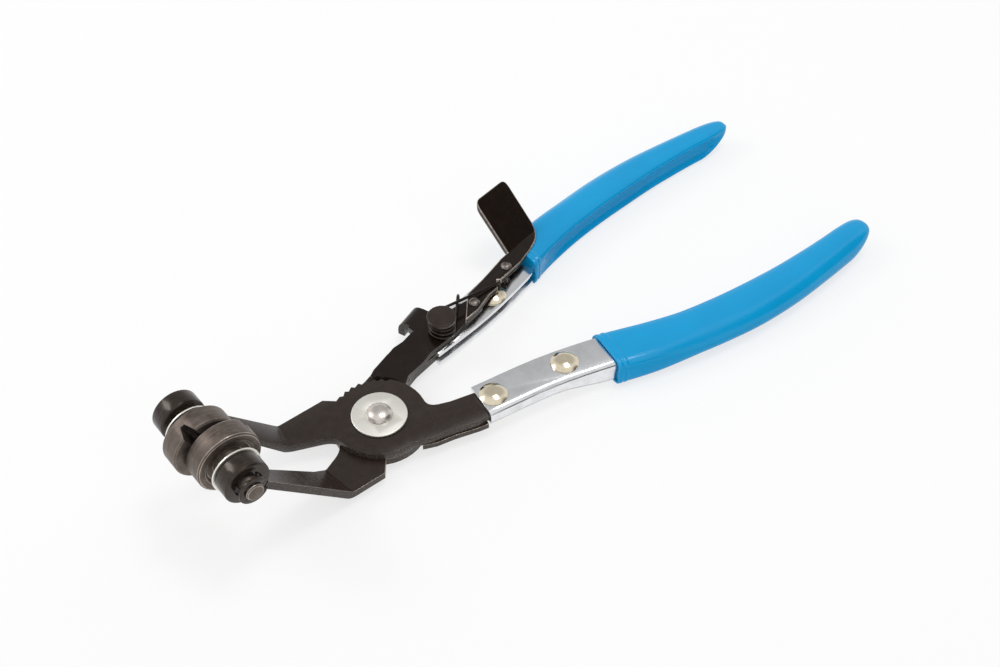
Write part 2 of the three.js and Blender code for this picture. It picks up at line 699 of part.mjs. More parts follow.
function springGeometry() {
  const path = springPath();
  const steps = Math.round(path.getLength() / (2 * Math.PI * springCoilRadius) * springTurnSteps);
  const wire = new THREE.Shape();
  for (let corner = 0; corner < springSides; corner++) {
    const angle = 2 * Math.PI * corner / springSides;
    wire[corner ? 'lineTo' : 'moveTo'](springWireRadius * Math.cos(angle), springWireRadius * Math.sin(angle));
  }
  reportWireGap(path.getSpacedPoints(steps));
  return new THREE.ExtrudeGeometry(wire, { steps, extrudePath: path });
}

function reportWireGap(points) {
  let least = Infinity;
  const spacing = points[0].distanceTo(points[1]);
  const apart = Math.ceil(springCoilRadius * Math.PI / spacing);
  for (let first = 0; first < points.length; first++) {
    for (let second = first + apart; second < points.length; second++) {
      least = Math.min(least, points[first].distanceTo(points[second]));
    }
  }
  console.log(`least gap of the spring wire to itself: ${(least - 2 * springWireRadius).toFixed(3)} mm`);
}

// Thumb lever: one blank with a notch for the spring, its end bent up and outwards as the tab
function thumbBlank() {
  const to = thumbOutline;
  const direction = radians(thumbBendDirection);
  const onTab = (along, out) => [to.bendEnd[0] + along * Math.cos(direction) - out * Math.sin(direction),
    to.bendEnd[1] + along * Math.sin(direction) + out * Math.cos(direction)];
  const reach = thumbTabLength * Math.sin(radians(thumbTabLean));
  const near = -thumbTabWidth;
  const shape = new THREE.Shape();
  shape.moveTo(...to.front);
  [to.innerFront, to.innerMiddle, to.notchFront, to.notchFloor, to.notchRear, to.end, to.cornerFoot]
    .forEach((point) => shape.lineTo(...point));
  shape.quadraticCurveTo(...to.cornerPull, ...onTab(0, thumbTabFoot));
  shape.lineTo(...onTab(0, reach - thumbTabRound));
  shape.quadraticCurveTo(...onTab(0, reach), ...onTab(-thumbTabRound, reach));
  shape.lineTo(...onTab(near + thumbTabRound, reach));
  shape.quadraticCurveTo(...onTab(near, reach), ...onTab(near, reach - thumbTabRound));
  shape.lineTo(...onTab(near, 0));
  [to.outerRear, to.outerMiddle, to.frontOuter].forEach((point) => shape.lineTo(...point));
  return shape;
}

function thumbStrip() {
  const lean = radians(90 - thumbTabLean);
  const level = thumbBase + thumbThickness / 2;
  const levelLength = 2 * thumbRearRivet[0];
  const profile = bentStrip(level, thumbThickness, thumbBendRadius, lean, filletSteps, levelLength, 2 * thumbTabLength);
  return stripSolid(profile, 2 * levelLength).rotateZ(radians(thumbBendDirection - 90))
    .translate(...thumbOutline.bendEnd, 0);
}

function thumbSolid() {
  let lever = solidOf(thumbStrip()).intersect(solidOf(prism(thumbBlank(), 0, thumbBase + 2 * thumbTabLength)));
  [thumbFrontRivet, thumbRearRivet].forEach(([x, y]) => {
    const hole = post(thumbRivetShankRadius + seat, -cutOverrun, cutHeight).translate(x, y, 0);
    lever = lever.subtract(solidOf(hole));
  });
  return lever;
}

// Swivel jaws and the parts on their pins; each is turned about the Y axis, with reach measured from the middle plane
function jawPlaces(arm) {
  const collarEnd = arm.collarFace + collarLength;
  const clipStart = collarEnd + arm.clipSlack;
  const back = clipStart - clipReach;
  return { collarEnd, clipStart, back, face: back - jawThickness, neckEnd: back + jawNeckLength,
    pinEnd: back + jawPinReach, washerStart: arm.collarFace - arm.washerSlack - thrustWasherThickness };
}

function jawSolid(side, arm, grooveTurn) {
  const { clipStart, back, face, neckEnd, pinEnd } = jawPlaces(arm);
  const clipRoom = clipStart - seat;
  const clipRoomEnd = clipStart + clipThickness + seat;
  const profile = [[0, face], [jawRadius - jawEdgeRound, face], [jawRadius, face + jawEdgeRound],
    [jawRadius, back - jawEdgeRound], [jawRadius - jawEdgeRound, back], [jawDishRadius, back],
    [jawDishRadius - jawDishDepth, back - jawDishDepth], [jawNeckRadius, back - jawDishDepth],
    [jawNeckRadius, neckEnd], [jawPinRadius, neckEnd], [jawPinRadius, clipRoom], [clipSeatRadius, clipRoom],
    [clipSeatRadius, clipRoomEnd], [jawPinRadius, clipRoomEnd], [jawPinRadius, pinEnd - jawPinEdge],
    [jawPinRadius - jawPinEdge, pinEnd], [0, pinEnd]];
  const mouth = jawGrooveMouth / 2;
  const floor = jawGrooveFloor / 2;
  const bottom = face + jawGrooveDepth;
  const wide = mix(mouth, floor, -cutOverrun / jawGrooveDepth);
  const groove = outlineShape([[-floor, bottom], [-wide, face - cutOverrun], [wide, face - cutOverrun], [floor, bottom]]);
  const bar = new THREE.ExtrudeGeometry(groove, { depth: 4 * jawRadius, bevelEnabled: false });
  bar.translate(0, 0, -2 * jawRadius).rotateY(radians(90 - grooveTurn));
  const jaw = solidOf(turnedOnY(profile, roundSteps)).subtract(solidOf(bar));
  return side > 0 ? jaw : jaw.mirror([0, 1, 0]);
}

function ringOnY(side, innerRadius, outerRadius, from, until, edge) {
  const profile = [[innerRadius, from], [outerRadius - edge, from], [outerRadius, from + edge],
    [outerRadius, until - edge], [outerRadius - edge, until], [innerRadius, until], [innerRadius, from]];
  const ring = solidOf(turnedOnY(profile, roundSteps));
  return side > 0 ? ring : ring.mirror([0, 1, 0]);
}

// E-clip: open towards +X, with two hollows beside its middle tongue
function clipSolid(side, start) {
  const shape = new THREE.Shape();
  const opening = Math.asin(clipOpening / 2 / clipRadius);
  const innerOpening = Math.asin(clipOpening / 2 / (clipSeatRadius + clipHollow));
  shape.absarc(0, 0, clipRadius, opening, 2 * Math.PI - opening, false);
  for (let step = 0; step <= clipSteps; step++) {
    const angle = mix(2 * Math.PI - innerOpening, innerOpening, step / clipSteps);
    const fromMiddle = Math.abs(THREE.MathUtils.radToDeg(angle) - 180);
    const inHollow = fromMiddle > clipTongue && fromMiddle < clipTongue + clipHollowSpan;
    const radius = clipSeatRadius + (inHollow ? clipHollow : seat);
    shape.lineTo(radius * Math.cos(angle), radius * Math.sin(angle));
  }
  const clip = new THREE.ExtrudeGeometry(shape, { depth: clipThickness, bevelEnabled: false, curveSegments: filletSteps * 4 });
  clip.rotateX(-Math.PI / 2).translate(0, start, 0);
  const solid = solidOf(clip);
  return side > 0 ? solid : solid.mirror([0, 1, 0]);
}

// Rivets: a dome on the flange, a shank through the plate and a flat tail under the channel
function handleRivet(channelBase, drop) {
  const headBase = channelBase + channelHeight + seat;
  const tail = channelBase - drop - seat;
  return turnedOnZ([[0, tail - rivetTailHeight], [rivetTailRadius, tail - rivetTailHeight], [rivetTailRadius, tail],
    [rivetShankRadius, tail], [rivetShankRadius, headBase], [rivetHeadRadius, headBase],
    ...domeProfile(rivetHeadRadius, headBase + sheetThickness / 4, rivetHeadHeight - sheetThickness / 4)], smallRoundSteps);
}

function pawlPinSolid() {
  const tail = lowerChannelBase - seat;
  const top = pawlHeadBase + pawlHeadHeight;
  return turnedOnZ([[0, tail - rivetTailHeight], [rivetTailRadius, tail - rivetTailHeight], [rivetTailRadius, tail],
    [pawlPinRadius, tail], [pawlPinRadius, pawlHeadBase], [pawlHeadRadius, pawlHeadBase],
    [pawlHeadRadius, top - pawlHeadEdge], [pawlHeadRadius - pawlHeadEdge, top], [0, top]], smallRoundSteps);
}

function pivotRivet() {
  return turnedOnZ([[0, 0], [pivotFootRadius, 0], [pivotFootRadius, pivotFootHeight], [pivotShankRadius, pivotFootHeight],
    [pivotShankRadius, pivotHeadBase], ...domeProfile(pivotDomeRadius, pivotHeadBase, pivotDomeHeight)], smallRoundSteps);
}

function pivotWasher(base) {
  const top = base + washerThickness;
  const bore = pivotShankRadius + seat;
  return turnedOnZ([[bore, base], [washerRadius - washerEdgeRound, base], [washerRadius, base + washerEdgeRound],
    [washerRadius, top - washerEdgeRound], [washerRadius - washerEdgeRound, top], [bore, top], [bore, base]], roundSteps);
}

function thumbRivet(bottom) {
  return turnedOnZ([[0, bottom], [thumbRivetShankRadius, bottom], [thumbRivetShankRadius, thumbTop + seat],
    ...domeProfile(thumbRivetRadius, thumbTop + seat, thumbRivetHead, 3)], springTurnSteps / 2);
}

function stopPlate() {
  const plate = solidOf(prism(outlineShape(stopPlateOutline), upperPlateBase - seat - stopPlateThickness, stopPlateThickness));
  const hub = solidOf(post(hubRadius + stopPlateHubGap, -cutOverrun, cutHeight, roundSteps));
  return plate.subtract(hub);
}

// The whole tool
const tool = new THREE.Group();
tool.name = 'hose_clamp_pliers';

function pierced(solid, handle) {
  let result = solid;
  [handle.frontRivet, handle.rearRivet].filter(Boolean).forEach((place) => {
    const [x, y] = handlePlace(place, handle.side);
    result = result.subtract(solidOf(post(rivetShankRadius + seat, -cutOverrun, cutHeight).translate(x, y, 0)));
  });
  if (handle.side > 0) {
    const hole = post(pawlPinRadius + seat, -cutOverrun, cutHeight).translate(pawlPin[0], pawlPin[1], 0);
    result = result.subtract(solidOf(hole));
  }
  return result;
}

function addLever(side, name, plateBase, arm) {
  const handle = handleSettings(side);
  const armSide = -side;
  let lever = leverSolid(armSide, plateBase, arm, handle.start);
  if (armSide > 0) {
    lever = lever.subtract(notchCutter(0));
  }
  addPiece(tool, name, pierced(lever, handle), blackedPlate());
}

function addHandle(side, word) {
  const handle = handleSettings(side);
  addPiece(tool, `handle_channel_${word}`, pierced(solidOf(channelBar(handle, 0)), handle), chrome());
  const core = solidOf(channelBar(handle, seat));
  addPiece(tool, `grip_${word}`, solidOf(gripBar(handle)).subtract(core), blueVinyl());
  const rivets = { front: handle.frontRivet, rear: handle.rearRivet };
  Object.entries(rivets).filter(([, place]) => place).forEach(([end, place]) => {
    const [x, y] = handlePlace(place, side);
    const drop = side < 0 ? flareHeight * smoothShare(place[0] + rivetTailRadius, handle.flare.from, handle.flare.to) : 0;
    addPiece(tool, `handle_rivet_${word}_${end}`, handleRivet(handle.base, drop), brassyRivet(), [x, y, 0]);
  });
}

function addJaw(side, word, arm, grooveTurn) {
  const place = [-arm.jawReach, 0, arm.jawHeight];
  const { collarEnd, clipStart, washerStart } = jawPlaces(arm);
  const washerEnd = washerStart + thrustWasherThickness;
  const bore = jawPinRadius + runningClearance;
  const add = (name, shape, look) => addPiece(tool, `${name}_${word}`, shape, look, place);
  add('swivel_jaw', jawSolid(side, arm, grooveTurn), gunmetal());
  add('thrust_washer', ringOnY(side, bore, thrustWasherRadius, washerStart, washerEnd, seat), paleZinc());
  add('jaw_collar', ringOnY(side, bore, collarRadius, arm.collarFace, collarEnd, collarEdge), turnedBlack());
  add('e_clip', clipSolid(side, clipStart), turnedBlack());
}

addLever(-1, 'lever_upper', upperPlateBase, upperArm);
addLever(1, 'lever_lower', lowerPlateBase, lowerArm);
addPiece(tool, 'pivot_rivet', pivotRivet(), brightRivet());
addPiece(tool, 'pivot_washer_upper', pivotWasher(upperWasherBase), paleZinc());
addPiece(tool, 'pivot_washer_lower', pivotWasher(lowerWasherBase), paleZinc());
addPiece(tool, 'stop_plate', stopPlate(), blackedPlate());
addHandle(-1, 'right');
addHandle(1, 'left');
addJaw(1, 'left', upperArm, leftGrooveTurn);
addJaw(-1, 'right', lowerArm, rightGrooveTurn);
addPiece(tool, 'pawl', pawlSolid(), blackedPlate());
addPiece(tool, 'pawl_pin', pawlPinSolid(), blackedLever(), [...pawlPin, 0]);
addPiece(tool, 'pawl_spring', springGeometry(), springSteel(), [...pawlPin, 0]);
addPiece(tool, 'thumb_lever', thumbSolid(), blackedLever());
addPiece(tool, 'thumb_lever_rivet', thumbRivet(pawlRearBase - springLift), brightRivet(), [...thumbFrontRivet, 0]);
addPiece(tool, 'thumb_lever_stud', thumbRivet(lowerFlangeTop + thumbStudGap), brightRivet(), [...thumbRearRivet, 0]);

export default tool;
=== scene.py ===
import bpy, json, math
from mathutils import Matrix, Vector


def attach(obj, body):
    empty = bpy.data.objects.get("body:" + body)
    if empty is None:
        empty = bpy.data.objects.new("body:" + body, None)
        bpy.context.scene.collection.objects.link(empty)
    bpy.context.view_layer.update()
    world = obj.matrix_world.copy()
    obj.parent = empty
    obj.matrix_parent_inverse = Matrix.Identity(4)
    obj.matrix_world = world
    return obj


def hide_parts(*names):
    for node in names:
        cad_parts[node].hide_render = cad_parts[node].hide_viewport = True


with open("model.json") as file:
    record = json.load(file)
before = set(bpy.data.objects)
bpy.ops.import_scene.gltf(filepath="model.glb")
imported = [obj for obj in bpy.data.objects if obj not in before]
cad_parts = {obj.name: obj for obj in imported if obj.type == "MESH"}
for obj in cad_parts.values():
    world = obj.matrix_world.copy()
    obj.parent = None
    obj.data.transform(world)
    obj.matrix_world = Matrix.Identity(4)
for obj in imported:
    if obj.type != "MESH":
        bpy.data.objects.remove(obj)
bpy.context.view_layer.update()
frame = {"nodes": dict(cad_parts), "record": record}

mm = 0.001
cadNodes = frame["nodes"]
bodyOf = {node: body for body, nodes in frame["record"]["behaviour"]["bodies"].items() for node in nodes}


def hexToLinear(text):
    shares = [int(text[i:i + 2], 16) / 255 for i in (1, 3, 5)]
    return tuple(s / 12.92 if s <= 0.04045 else ((s + 0.055) / 1.055) ** 2.4 for s in shares) + (1.0,)


# The scale that gives a texture features of this size in millimetres
def scaleFor(size):
    return 1 / (size * mm)


# One node with its links, fixed values and settings, and the stops of a colour ramp as (place, colour)
def addNode(owner, kind, links=None, values=None, stops=None, **settings):
    node = owner.node_tree.nodes.new(kind)
    for name, value in settings.items():
        setattr(node, name, value)
    for socket, value in (values or {}).items():
        node.inputs[socket].default_value = value
    for socket, source in (links or {}).items():
        owner.node_tree.links.new(source, node.inputs[socket])
    if stops:
        for stop, (place, colour) in zip(node.color_ramp.elements, stops):
            stop.position = place
            stop.color = hexToLinear(colour)
    return node


def plug(owner, source, target):
    owner.node_tree.links.new(source, target)


# A material, its shader with the values that are the same all over it, and its Object coordinates
def newMaterial(name, surface):
    material = bpy.data.materials.new(name)
    material.use_nodes = True
    shader = material.node_tree.nodes["Principled BSDF"]
    for socket, value in surface.items():
        shader.inputs[socket].default_value = value
    place = addNode(material, "ShaderNodeTexCoord").outputs["Object"]
    return material, shader, place


# Mild steel plate, punched and black-oxidised. The eye gets satin brown-black faces with slow clouds,
# and sheared edges that are torn, rougher and greyer. The oxide is a mineral film, so nothing is metallic.
# Its real grain is some hundredths of a millimetre and is drawn at a third of one, so that it shows.
oxide = {"cloudSize": 2.381, "tearSize": 0.5263, "grainSize": 0.3125, "relief": 0.05, "edgeTilt": 0.4}


def blackOxidePlate(name, face, edge, roughness, sheen):
    material, shader, place = newMaterial(name, {"Metallic": 0.0, "Specular IOR Level": sheen})
    clouding = {"Scale": scaleFor(oxide["cloudSize"]), "Detail": 4.0, "Roughness": 0.6}
    cloud = addNode(material, "ShaderNodeTexNoise", {"Vector": place}, clouding).outputs["Fac"]
    faceStops = ((0.35, face[0]), (0.7, face[1]))
    faceTone = addNode(material, "ShaderNodeValToRGB", {"Fac": cloud}, stops=faceStops)
    tearing = {"Scale": scaleFor(oxide["tearSize"]), "Detail": 4.0, "Roughness": 0.7}
    tear = addNode(material, "ShaderNodeTexNoise", {"Vector": place}, tearing).outputs["Fac"]
    edgeStops = ((0.42, edge[0]), (0.6, edge[1]))
    edgeTone = addNode(material, "ShaderNodeValToRGB", {"Fac": tear}, stops=edgeStops)
    # a sheared edge is a face whose normal lies nearly level
    normal = addNode(material, "ShaderNodeTexCoord").outputs["Normal"]
    normalZ = addNode(material, "ShaderNodeSeparateXYZ", {"Vector": normal}).outputs["Z"]
    tilt = addNode(material, "ShaderNodeMath", {0: normalZ}, operation="ABSOLUTE").outputs["Value"]
    limit = {1: oxide["edgeTilt"]}
    onEdge = addNode(material, "ShaderNodeMath", {0: tilt}, limit, operation="LESS_THAN").outputs["Value"]
    tones = {"Factor": onEdge, "A": faceTone.outputs["Color"], "B": edgeTone.outputs["Color"]}
    tone = addNode(material, "ShaderNodeMix", tones, data_type="RGBA").outputs["Result"]
    plug(material, tone, shader.inputs["Base Color"])
    grains = {"Scale": scaleFor(oxide["grainSize"]), "Detail": 2.0, "Roughness": 0.6}
    grain = addNode(material, "ShaderNodeTexNoise", {"Vector": place}, grains).outputs["Fac"]
    height = addNode(material, "ShaderNodeMath", {0: tear, 1: onEdge, 2: grain}, operation="MULTIPLY_ADD")
    bumpiness = {"Strength": 0.25, "Distance": oxide["relief"] * mm}
    bump = addNode(material, "ShaderNodeBump", {"Height": height.outputs["Value"]}, bumpiness)
    plug(material, bump.outputs["Normal"], shader.inputs["Normal"])
    span = {"From Min": 0.3, "From Max": 0.75, "To Min": roughness - 0.05, "To Max": roughness + 0.08}
    satin = addNode(material, "ShaderNodeMapRange", {"Value": cloud}, span).outputs["Result"]
    plug(material, satin, shader.inputs["Roughness"])
    return material


# Steel turned on a lathe, then gunmetal or black finished. The eye gets fine rings about the part's own
# axis, short streaks that follow them, and clouds that are darker where the part is handled less.
# A lathe's feed is usually about 0.1 mm, and the rings are drawn 0.3 mm apart, so that they show.
lathe = {"ringSpacing": 0.3, "streakAlong": 0.3704, "streakAround": 5.556, "cloudSize": 1.923, "relief": 0.03}
waveSteps = 20  # Blender's wave texture counts a length of 2 pi / 20 as one wave at scale 1


def turnedSteel(name, dark, light, roughness, metallic, axis):
    material, shader, place = newMaterial(name, {"Metallic": metallic, "Specular IOR Level": 0.5})
    toAxis = {"Location": tuple(-value * mm for value in axis)}
    centred = addNode(material, "ShaderNodeMapping", {"Vector": place}, toAxis).outputs["Vector"]
    cut = {"Scale": 2 * math.pi / waveSteps * scaleFor(lathe["ringSpacing"]), "Distortion": 1.5,
        "Detail": 3.0, "Detail Scale": 2.0}
    rings = addNode(material, "ShaderNodeTexWave", {"Vector": centred}, cut, wave_type="RINGS",
        rings_direction="Y").outputs["Fac"]
    around, along = scaleFor(lathe["streakAround"]), scaleFor(lathe["streakAlong"])
    stretch = {"Scale": (around, along, around)}
    drawn = addNode(material, "ShaderNodeMapping", {"Vector": centred}, stretch).outputs["Vector"]
    streaks = {"Scale": 1.0, "Detail": 4.0, "Roughness": 0.6}
    streak = addNode(material, "ShaderNodeTexNoise", {"Vector": drawn}, streaks).outputs["Fac"]
    clouding = {"Scale": scaleFor(lathe["cloudSize"]), "Detail": 5.0, "Roughness": 0.65}
    cloud = addNode(material, "ShaderNodeTexNoise", {"Vector": centred}, clouding).outputs["Fac"]
    both = addNode(material, "ShaderNodeMath", {0: streak, 1: cloud}, operation="ADD").outputs["Value"]
    worn = addNode(material, "ShaderNodeMath", {0: both}, {1: 0.5}, operation="MULTIPLY").outputs["Value"]
    tone = addNode(material, "ShaderNodeValToRGB", {"Fac": worn}, stops=((0.36, dark), (0.64, light)))
    plug(material, tone.outputs["Color"], shader.inputs["Base Color"])
    height = addNode(material, "ShaderNodeMath", {0: rings, 2: streak}, {1: 0.4}, operation="MULTIPLY_ADD")
    bumpiness = {"Strength": 0.3, "Distance": lathe["relief"] * mm}
    bump = addNode(material, "ShaderNodeBump", {"Height": height.outputs["Value"]}, bumpiness)
    plug(material, bump.outputs["Normal"], shader.inputs["Normal"])
    span = {"From Min": 0.3, "From Max": 0.75, "To Min": roughness - 0.06, "To Max": roughness + 0.1}
    satin = addNode(material, "ShaderNodeMapRange", {"Value": cloud}, span).outputs["Result"]
    plug(material, satin, shader.inputs["Roughness"])
    return material


# Steel plated in a barrel or a rack with zinc, nickel or chrome, a light bare metal for the painted edge
# highlight, and oiled wire.
# The eye gets an even metal with faint clouds, larger and weaker the better it is polished.
plating = {"cloudSize": 1.111, "grain": 0.12, "relief": 0.04}


def platedMetal(name, dark, light, roughness, cloudSize=plating["cloudSize"], grain=plating["grain"]):
    material, shader, place = newMaterial(name, {"Metallic": 1.0})
    clouding = {"Scale": scaleFor(cloudSize), "Detail": 5.0, "Roughness": 0.6}
    cloud = addNode(material, "ShaderNodeTexNoise", {"Vector": place}, clouding).outputs["Fac"]
    tone = addNode(material, "ShaderNodeValToRGB", {"Fac": cloud}, stops=((0.3, dark), (0.65, light)))
    plug(material, tone.outputs["Color"], shader.inputs["Base Color"])
    span = {"From Min": 0.3, "From Max": 0.7, "To Min": roughness + 0.08, "To Max": roughness}
    polish = addNode(material, "ShaderNodeMapRange", {"Value": cloud}, span).outputs["Result"]
    plug(material, polish, shader.inputs["Roughness"])
    bumpiness = {"Strength": grain, "Distance": plating["relief"] * mm}
    bump = addNode(material, "ShaderNodeBump", {"Height": cloud}, bumpiness)
    plug(material, bump.outputs["Normal"], shader.inputs["Normal"])
    return material


# PVC plastisol, dipped. The eye gets a thick glossy film with slow waves and faint fine unevenness.
# It mirrors less on its sides than on top, so that the hollow keeps its deep blue. The even mirror stands
# on the shader's own socket, for an export that drops the change from side to top.
dip = {"waveSize": 16.67, "fineSize": 1.111, "relief": 0.4, "sideMirror": 0.1, "topMirror": 0.42,
    "evenMirror": 0.3}


def dippedVinyl(name, dark, light, roughness):
    material, shader, place = newMaterial(name, {"Specular IOR Level": dip["evenMirror"]})
    waves = {"Scale": scaleFor(dip["waveSize"]), "Detail": 2.0, "Roughness": 0.6}
    wave = addNode(material, "ShaderNodeTexNoise", {"Vector": place}, waves).outputs["Fac"]
    tone = addNode(material, "ShaderNodeValToRGB", {"Fac": wave}, stops=((0.3, dark), (0.7, light)))
    plug(material, tone.outputs["Color"], shader.inputs["Base Color"])
    fineness = {"Scale": scaleFor(dip["fineSize"]), "Detail": 2.0, "Roughness": 0.6}
    fine = addNode(material, "ShaderNodeTexNoise", {"Vector": place}, fineness).outputs["Fac"]
    span = {"From Min": 0.3, "From Max": 0.7, "To Min": roughness - 0.03, "To Max": roughness + 0.03}
    film = addNode(material, "ShaderNodeMapRange", {"Value": fine}, span).outputs["Result"]
    plug(material, film, shader.inputs["Roughness"])
    bumpiness = {"Strength": 0.05, "Distance": dip["relief"] * mm}
    bump = addNode(material, "ShaderNodeBump", {"Height": wave}, bumpiness)
    plug(material, bump.outputs["Normal"], shader.inputs["Normal"])
    normal = addNode(material, "ShaderNodeTexCoord").outputs["Normal"]
    upward = addNode(material, "ShaderNodeSeparateXYZ", {"Vector": normal}).outputs["Z"]
    span = {"From Min": 0.1, "From Max": 0.7, "To Min": dip["sideMirror"], "To Max": dip["topMirror"]}
    mirror = addNode(material, "ShaderNodeMapRange", {"Value": upward}, span).outputs["Result"]
    plug(material, mirror, shader.inputs["Specular IOR Level"])
    return material


# The middles of the two jaws, in millimetres: their axes run along y
leftAxis = (-50.1, 0, 32.4)
rightAxis = (-47.7, 0, 31.8)
looks = {look.name: look for look in (
    # satin on levers, stop plate and pin; pawl and thumb lever oiled to a gloss, and darker than the plates
    # as painted shade
    blackOxidePlate("blackenedPlateSteel", face=("#2e2520", "#332923"), edge=("#2f2722", "#554c45"),
        roughness=0.26, sheen=0.28),
    blackOxidePlate("oiledLeverSteelWithPaintedShade", face=("#1b130f", "#201712"), edge=("#2a2320", "#4a423c"),
        roughness=0.14, sheen=0.25),
    # light bare metal on the broken edges as a painted highlight: a thin light line along the edges
    platedMetal("paintedEdgeHighlight", "#857b73", "#b3a99f", roughness=0.3),
    # jaws in satin gunmetal grey, and collars and clips blacked and glossy
    turnedSteel("gunmetalLeft", "#544942", "#776c65", roughness=0.42, metallic=0.7, axis=leftAxis),
    turnedSteel("gunmetalRight", "#544942", "#776c65", roughness=0.42, metallic=0.7, axis=rightAxis),
    turnedSteel("blackTurnedLeft", "#28201b", "#41372f", roughness=0.18, metallic=0.4, axis=leftAxis),
    turnedSteel("blackTurnedRight", "#28201b", "#41372f", roughness=0.18, metallic=0.4, axis=rightAxis),
    # zinc is pale and hazy, nickel a warm grey, the brassy rivets and the chrome nearly mirrors
    platedMetal("paleZincPlate", "#eae8df", "#f6f4ec", roughness=0.36, grain=0.04),
    platedMetal("brightNickel", "#c9c1ba", "#ddd7d0", roughness=0.26, grain=0.02),
    platedMetal("darkNickel", "#6b625e", "#8d847f", roughness=0.32),
    platedMetal("paleBrassNickel", "#dccfb4", "#efe4cd", roughness=0.1, cloudSize=3.333, grain=0.02),
    platedMetal("chromePlate", "#dcdde0", "#eeeff1", roughness=0.15, cloudSize=4.0, grain=0.01),
    platedMetal("springWireSteel", "#2b2623", "#453e39", roughness=0.3),
    dippedVinyl("blueDippedVinyl", "#009ad4", "#00a0da", roughness=0.16),
)}
print("materials made")


def pick(piece):
    bpy.ops.object.select_all(action="DESELECT")
    piece.select_set(True)
    bpy.context.view_layer.objects.active = piece


def declare(piece, node):
    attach(piece, bodyOf[node])
    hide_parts(node)


cleaning = {"mergeWithin": 0.002, "flatWithin": 0.6}  # millimetres, degrees


# A copy of the node's solid, merged, with its sharp edges broken and, where asked, a light metal on them as a
# painted edge highlight. The edge's width is in millimetres. A clamped bevel narrows where short edges meet,
# as at the teeth.
def dressed(node, finish, edge=0.1, segments=2, bevelAngle=38, smoothAngle=32, withPaintedEdgeHighlight=False, clamped=True):
    piece = cadNodes[node].copy()
    piece.data = cadNodes[node].data.copy()
    piece.name = node + ".piece"
    piece.parent = None
    bpy.context.scene.collection.objects.link(piece)
    pick(piece)
    bpy.ops.object.mode_set(mode="EDIT")
    bpy.ops.mesh.select_all(action="SELECT")
    bpy.ops.mesh.remove_doubles(threshold=cleaning["mergeWithin"] * mm)
    bpy.ops.mesh.dissolve_limited(angle_limit=math.radians(cleaning["flatWithin"]))
    bpy.ops.mesh.select_all(action="DESELECT")
    bpy.ops.object.mode_set(mode="OBJECT")
    piece.data.materials.clear()
    piece.data.materials.append(looks[finish])
    if edge:
        bevel = piece.modifiers.new("brokenEdges", "BEVEL")
        # the bevel faces get the light metal, a painted edge highlight
        if withPaintedEdgeHighlight:
            piece.data.materials.append(looks["paintedEdgeHighlight"])
            bevel.material = 1
        bevel.width = edge * mm
        bevel.segments = segments
        bevel.limit_method = "ANGLE"
        bevel.use_clamp_overlap = clamped
        bevel.angle_limit = math.radians(bevelAngle)
        bpy.ops.object.modifier_apply(modifier=bevel.name)
    bpy.ops.object.shade_smooth_by_angle(angle=math.radians(smoothAngle))
    declare(piece, node)
    return piece


# Both levers and the stop plate are punched, and only the upper lever has teeth
# the broken edges of the plates carry the painted edge highlight
punched = {"finish": "blackenedPlateSteel", "edge": 0.06, "smoothAngle": 12, "withPaintedEdgeHighlight": True, "clamped": False}
for node in ("lever_lower", "stop_plate"):
    dressed(node, **punched)
toothed = {"finish": "blackenedPlateSteel", "edge": 0.16, "withPaintedEdgeHighlight": True}
dressed("lever_upper", **toothed)
# the pawl and thumb lever take the glossier steel, whose darker face and edge tones are painted shade
pawlPlate = {"finish": "oiledLeverSteelWithPaintedShade", "edge": 0.16, "smoothAngle": 22, "withPaintedEdgeHighlight": True}
dressed("pawl", **pawlPlate)
thumbStrip = {"finish": "oiledLeverSteelWithPaintedShade", "edge": 0.35, "segments": 3, "smoothAngle": 30, "withPaintedEdgeHighlight": True,
    "clamped": False}
dressed("thumb_lever", **thumbStrip)
pinHead = {"finish": "blackenedPlateSteel", "edge": 0.12}
dressed("pawl_pin", **pinHead)
print("plates dressed")

# Where each collar's mouth lies along y, which way it opens, and the cut that opens it, in millimetres
collarMouth = {
    "left": {"face": 16.95, "turn": 1, "axis": leftAxis},
    "right": {"face": -14.6, "turn": -1, "axis": rightAxis},
}
mouthCut = {"radius": 3.9, "depth": 1.3, "overrun": 1.0, "around": 64, "smoothAngle": 32}


# Opens the outer end of a collar's bore, where its clip sits
def counterbore(collar, side):
    mouth = collarMouth[side]
    length = mouthCut["depth"] + mouthCut["overrun"]
    middle = mouth["face"] + mouth["turn"] * (mouthCut["overrun"] - length / 2)
    place = (mouth["axis"][0] * mm, middle * mm, mouth["axis"][2] * mm)
    bpy.ops.object.select_all(action="DESELECT")
    bpy.ops.mesh.primitive_cylinder_add(vertices=mouthCut["around"], radius=mouthCut["radius"] * mm,
        depth=length * mm, location=place, rotation=(math.pi / 2, 0, 0))
    drill = bpy.context.object
    cut = collar.modifiers.new("openMouth", "BOOLEAN")
    cut.operation = "DIFFERENCE"
    cut.solver = "EXACT"
    cut.object = drill
    pick(collar)
    bpy.ops.object.modifier_apply(modifier=cut.name)
    bpy.data.objects.remove(drill)
    bpy.ops.object.shade_smooth_by_angle(angle=math.radians(mouthCut["smoothAngle"]))


# Handle line of the left grip, in millimetres; the right one is its mirror image
bow = [(24.7, 14.1), (46, 17.2), (62, 21.2), (80, 26.8), (100, 31.1), (120, 33.2), (140, 33.2), (168, 31.4)]
# The box numbers say how square a section is, at the mouth and behind, where 2 is an ellipse
grips = {
    "left": {"turn": 1, "start": 44.5, "skew": 4.5, "narrow": (1.0, 1.15), "inset": 1.2,
        "outerBox": (3.6, 2.3), "innerBox": (5.5, 5.0), "hollow": 2.2},
    "right": {"turn": -1, "start": 39.6, "skew": 2.0, "narrow": (0, 0), "inset": 0.01,
        "outerBox": (4.5, 2.2), "innerBox": (3.6, 2.4), "hollow": 1.2},
}
